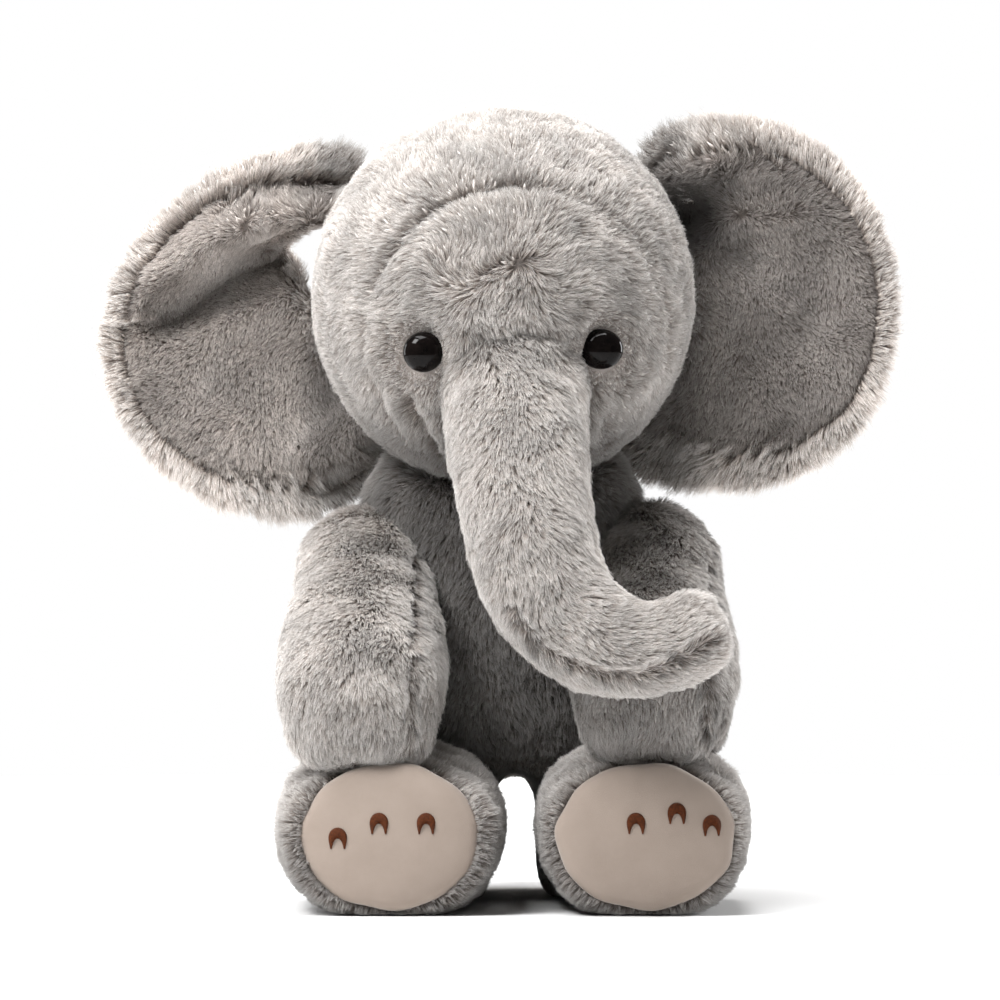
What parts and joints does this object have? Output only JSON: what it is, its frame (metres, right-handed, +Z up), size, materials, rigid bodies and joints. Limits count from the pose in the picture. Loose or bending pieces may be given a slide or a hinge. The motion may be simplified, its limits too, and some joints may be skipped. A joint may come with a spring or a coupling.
{
  "type": "stuffed elephant",
  "caption": "Sitting plush elephant with round cupped ears, a trunk curled to one side, soft arms resting over short legs, and smooth soles with stitched toenails.",
  "frame": {"origin": "middle of the whole toy's bounding box, on the floor it sits on", "axes": "+Z up; the face, trunk and soles point along -Y; +X is to the right of someone facing the toy"},
  "size_m": [0.2776, 0.219, 0.2775],
  "materials": {
    "pile": "long, soft grey pile",
    "ear_lining": "short, darker brown-grey pile",
    "stuffing": "loose white fibre",
    "sole": "smooth matte suede-like fabric",
    "thread": "satin-stitched brown thread",
    "eye": "polished black",
    "washer": "natural white nylon",
    "pouch": "plain woven cotton"
  },
  "bodies": {
    "torso": {"torso_skin": "pile", "torso_stuffing": "stuffing", "pellet_pouch": "pouch"},
    "neck": {"neck_stuffing": "stuffing"},
    "head": {"head_skin": "pile", "face_panel": "pile", "head_stuffing": "stuffing", "eye_left": "eye", "eye_right": "eye", "eye_washer_left": "washer", "eye_washer_right": "washer"},
    "trunk": {"trunk_skin": "pile", "trunk_stuffing": "stuffing"},
    "ear_left": {"ear_left_back": "pile", "ear_left_lining": "ear_lining"},
    "ear_right": {"ear_right_back": "pile", "ear_right_lining": "ear_lining"},
    "arm_left": {"arm_left_skin": "pile", "arm_left_stuffing": "stuffing"},
    "arm_right": {"arm_right_skin": "pile", "arm_right_stuffing": "stuffing"},
    "leg_left": {"leg_left_skin": "pile", "leg_left_stuffing": "stuffing", "sole_pad_left": "sole", "toenail_left_a": "thread", "toenail_left_b": "thread", "toenail_left_c": "thread"},
    "leg_right": {"leg_right_skin": "pile", "leg_right_stuffing": "stuffing", "sole_pad_right": "sole", "toenail_right_a": "thread", "toenail_right_b": "thread", "toenail_right_c": "thread"},
    "tail": {"tail": "pile"}
  },
  "joints": [
    {"name": "head_turn", "type": "hinge", "parent": "torso", "child": "neck", "pos_m": [0.00116, 0.02266, 0.144], "axis": [0, 0, 1], "range_deg": [-12, 10], "stiffness_Nm_per_rad": 0.4},
    {"name": "head_nod", "type": "hinge", "parent": "neck", "child": "head", "pos_m": [0.00116, 0.02266, 0.144], "axis": [-1, 0, 0], "range_deg": [0, 14], "stiffness_Nm_per_rad": 0.8},
    {"name": "trunk_lift", "type": "hinge", "parent": "head", "child": "trunk", "pos_m": [0.00516, -0.04134, 0.18], "axis": [-1, 0, 0], "range_deg": [0, 25], "stiffness_Nm_per_rad": 0.2},
    {"name": "ear_left_flap", "type": "hinge", "parent": "head", "child": "ear_left", "pos_m": [-0.06084, 0.03566, 0.203], "axis": [0, 0, 1], "range_deg": [-20, 22], "stiffness_Nm_per_rad": 0.05},
    {"name": "ear_right_flap", "type": "hinge", "parent": "head", "child": "ear_right", "pos_m": [0.06316, 0.03566, 0.208], "axis": [0, 0, -1], "range_deg": [-20, 22], "stiffness_Nm_per_rad": 0.05},
    {"name": "arm_left_swing", "type": "hinge", "parent": "torso", "child": "arm_left", "pos_m": [-0.04684, 0.01166, 0.128], "axis": [0, 1, 0], "range_deg": [0, 35], "stiffness_Nm_per_rad": 0.08},
    {"name": "arm_right_swing", "type": "hinge", "parent": "torso", "child": "arm_right", "pos_m": [0.05316, 0.01166, 0.129], "axis": [0, -1, 0], "range_deg": [0, 35], "stiffness_Nm_per_rad": 0.08},
    {"name": "leg_left_splay", "type": "hinge", "parent": "torso", "child": "leg_left", "pos_m": [-0.03784, -0.00934, 0.027], "axis": [0, 0, -1], "range_deg": [0, 18], "stiffness_Nm_per_rad": 0.3},
    {"name": "leg_right_splay", "type": "hinge", "parent": "torso", "child": "leg_right", "pos_m": [0.04966, -0.00934, 0.027], "axis": [0, 0, 1], "range_deg": [0, 18], "stiffness_Nm_per_rad": 0.3},
    {"name": "tail_swing", "type": "hinge", "parent": "torso", "child": "tail", "pos_m": [0.00516, 0.08466, 0.092], "axis": [0, 1, 0], "range_deg": [-30, 30], "stiffness_Nm_per_rad": 0.01}
  ]
}
